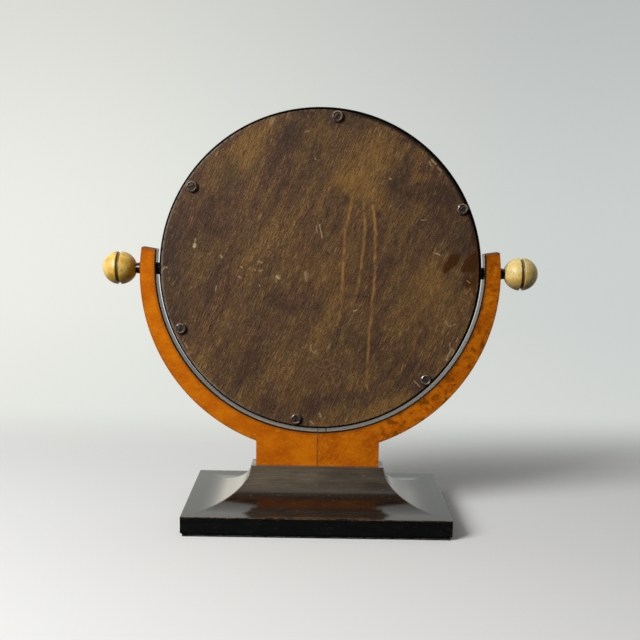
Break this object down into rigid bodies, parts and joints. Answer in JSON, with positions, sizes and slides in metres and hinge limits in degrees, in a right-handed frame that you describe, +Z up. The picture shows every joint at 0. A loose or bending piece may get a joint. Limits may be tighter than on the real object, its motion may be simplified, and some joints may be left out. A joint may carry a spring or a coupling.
{
  "type": "table mirror",
  "caption": "Round tilting table mirror, seen from behind: an orange birch fork with grooved cream ball knobs stands on a black flared block and plinth.",
  "frame": {"origin": "middle of the underside of the foot, on the table", "axes": "+Z up; +X from the left arm to the right arm as seen from behind; the mirror faces +Y and its screwed back faces -Y"},
  "size_m": [0.476, 0.162, 0.45],
  "materials": {
    "baize": "matt wool cloth",
    "ebonised_wood": "black stain under worn polish",
    "ebonised_band": "black stain under high polish",
    "birch_veneer": "orange shellac polish over figured birch",
    "core_wood": "stained end grain",
    "plain_wood": "unfinished beech",
    "stained_board": "dark streaky stain, worn",
    "mirror_glass": "bevelled silvered glass",
    "packing_card": "grey-brown card",
    "screw_cup_metal": "tarnished dark metal",
    "screw_steel": "aged dark steel",
    "stud_steel": "plain steel",
    "brass": "plain brass",
    "black_collar": "gloss black",
    "cream_knob": "aged cream gloss with olive mottling"
  },
  "bodies": {
    "stand": {"base_baize": "baize", "bottom_board": "ebonised_wood", "base_plinth": "ebonised_wood", "flared_block": "ebonised_wood", "seam_dowels": "plain_wood", "foot_dowels": "plain_wood", "foot_screws": "screw_steel", "yoke_core_left": "core_wood", "yoke_core_right": "core_wood", "back_veneer_left": "birch_veneer", "back_veneer_right": "birch_veneer", "front_veneer_left": "birch_veneer", "front_veneer_right": "birch_veneer", "outer_veneer_left": "birch_veneer", "outer_veneer_right": "birch_veneer", "inner_band_left": "ebonised_band", "inner_band_right": "ebonised_band"},
    "mirror": {"rim_ring": "ebonised_wood", "mirror_glass": "mirror_glass", "packing_card": "packing_card", "backboard": "stained_board", "screw_cups": "screw_cup_metal", "board_screws": "screw_steel", "pivot_collar_left": "black_collar", "pivot_collar_right": "black_collar", "thread_insert_left": "brass", "thread_insert_right": "brass"},
    "ferrule_left": {"ferrule_left": "black_collar"},
    "ferrule_right": {"ferrule_right": "black_collar"},
    "knob_left": {"knob_ball_left": "cream_knob", "knob_stud_left": "stud_steel"},
    "knob_right": {"knob_ball_right": "cream_knob", "knob_stud_right": "stud_steel"}
  },
  "joints": [
    {"name": "mirror_tilt", "type": "hinge", "parent": "stand", "child": "mirror", "pos_m": [0, 0, 0.275], "axis": [1, 0, 0], "continuous": true},
    {"name": "knob_left_advance", "type": "slide", "parent": "mirror", "child": "ferrule_left", "axis": [-1, 0, 0], "range_m": [0, 0.00254]},
    {"name": "knob_left_turn", "type": "hinge", "parent": "ferrule_left", "child": "knob_left", "pos_m": [-0.1963, 0, 0.275], "axis": [-1, 0, 0], "range_deg": [0, 720.5]},
    {"name": "knob_right_advance", "type": "slide", "parent": "mirror", "child": "ferrule_right", "axis": [1, 0, 0], "range_m": [0, 0.00254]},
    {"name": "knob_right_turn", "type": "hinge", "parent": "ferrule_right", "child": "knob_right", "pos_m": [0.1963, 0, 0.275], "axis": [1, 0, 0], "range_deg": [0, 720.5]}
  ],
  "couplings": [
    {"joint": "knob_left_turn", "follows": "knob_left_advance", "rad_per_m": 4947.4},
    {"joint": "knob_right_turn", "follows": "knob_right_advance", "rad_per_m": 4947.4}
  ]
}
